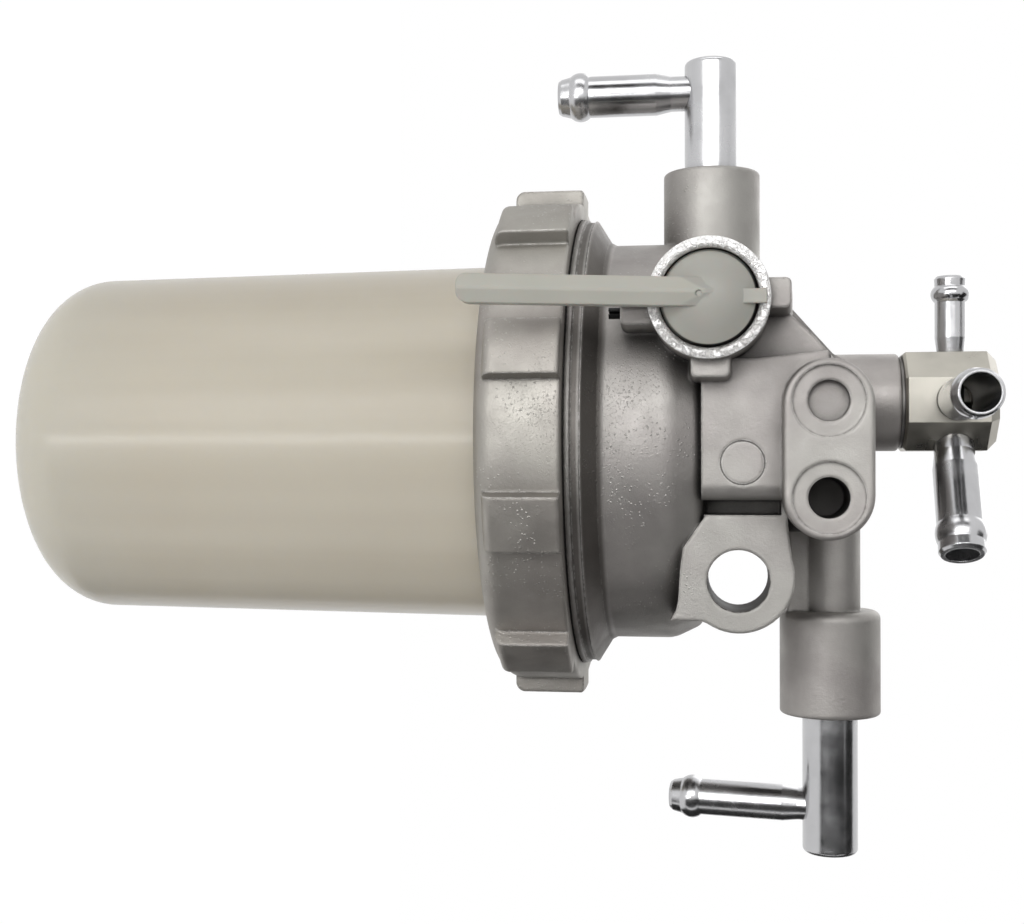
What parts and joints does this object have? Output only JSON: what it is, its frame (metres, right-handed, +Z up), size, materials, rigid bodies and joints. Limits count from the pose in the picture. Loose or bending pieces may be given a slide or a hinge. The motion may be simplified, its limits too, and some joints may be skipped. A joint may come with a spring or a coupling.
{
  "type": "fuel water separator",
  "caption": "Fuel water separator with a translucent bowl under a lugged ring nut, a cast head with a shut-off cock, hose nipples and a three-way joint.",
  "frame": {"origin": "centre of the mounting lug's hole, on its rear seat", "axes": "+Z up along the bowl axis, away from the bowl; -Y to the front, where the cock lever and the pad are; +X towards the outlet port"},
  "size_m": [0.1556, 0.1088, 0.191],
  "materials": {
    "cast_head": "as cast",
    "cast_ring": "as cast",
    "bowl": "translucent, satin",
    "lever": "satin",
    "plated_steel": "bright zinc",
    "joint_metal": "satin",
    "seal_rubber": "matte",
    "rotor_plastic": "matte",
    "pin_steel": "black oxide",
    "washer": "matte",
    "element_cap": "tinned",
    "element_paper": "paper",
    "spring_steel": "drawn wire"
  },
  "bodies": {
    "head": {"head_casting": "cast_head", "cock_retaining_pin": "pin_steel", "inlet_stem": "plated_steel", "inlet_nipple": "plated_steel", "outlet_stem": "plated_steel", "outlet_nipple": "plated_steel", "joint_block": "joint_metal", "joint_washer": "washer", "joint_front_nipple": "plated_steel", "joint_small_nipple": "plated_steel", "joint_lower_nipple": "plated_steel", "bowl_gasket": "seal_rubber", "element_top_cap": "element_cap", "element_bottom_cap": "element_cap", "element_media": "element_paper", "element_core": "element_cap", "element_grommet": "seal_rubber", "element_spring": "spring_steel"},
    "cock": {"cock_lever": "lever", "cock_rotor": "rotor_plastic", "rotor_seals": "seal_rubber", "lever_seal": "seal_rubber"},
    "bowl": {"bowl": "bowl"},
    "ring": {"ring_nut": "cast_ring"}
  },
  "joints": [
    {"name": "lever_turn", "type": "hinge", "parent": "head", "child": "cock", "pos_m": [-0.0483, 0.017, -0.00495], "axis": [0, 1, 0], "range_deg": [0, 90]},
    {"name": "bowl_drop", "type": "slide", "parent": "head", "child": "bowl", "axis": [0, 0, -1], "range_m": [0, 0.006], "deforming": ["element_spring"]},
    {"name": "ring_turn", "type": "hinge", "parent": "bowl", "child": "ring", "pos_m": [-0.0253, 0.017, -0.038], "axis": [0, 0, -1], "range_deg": [0, 720]}
  ],
  "couplings": [
    {"joint": "bowl_drop", "follows": "ring_turn", "m_per_rad": 0.00047746}
  ]
}
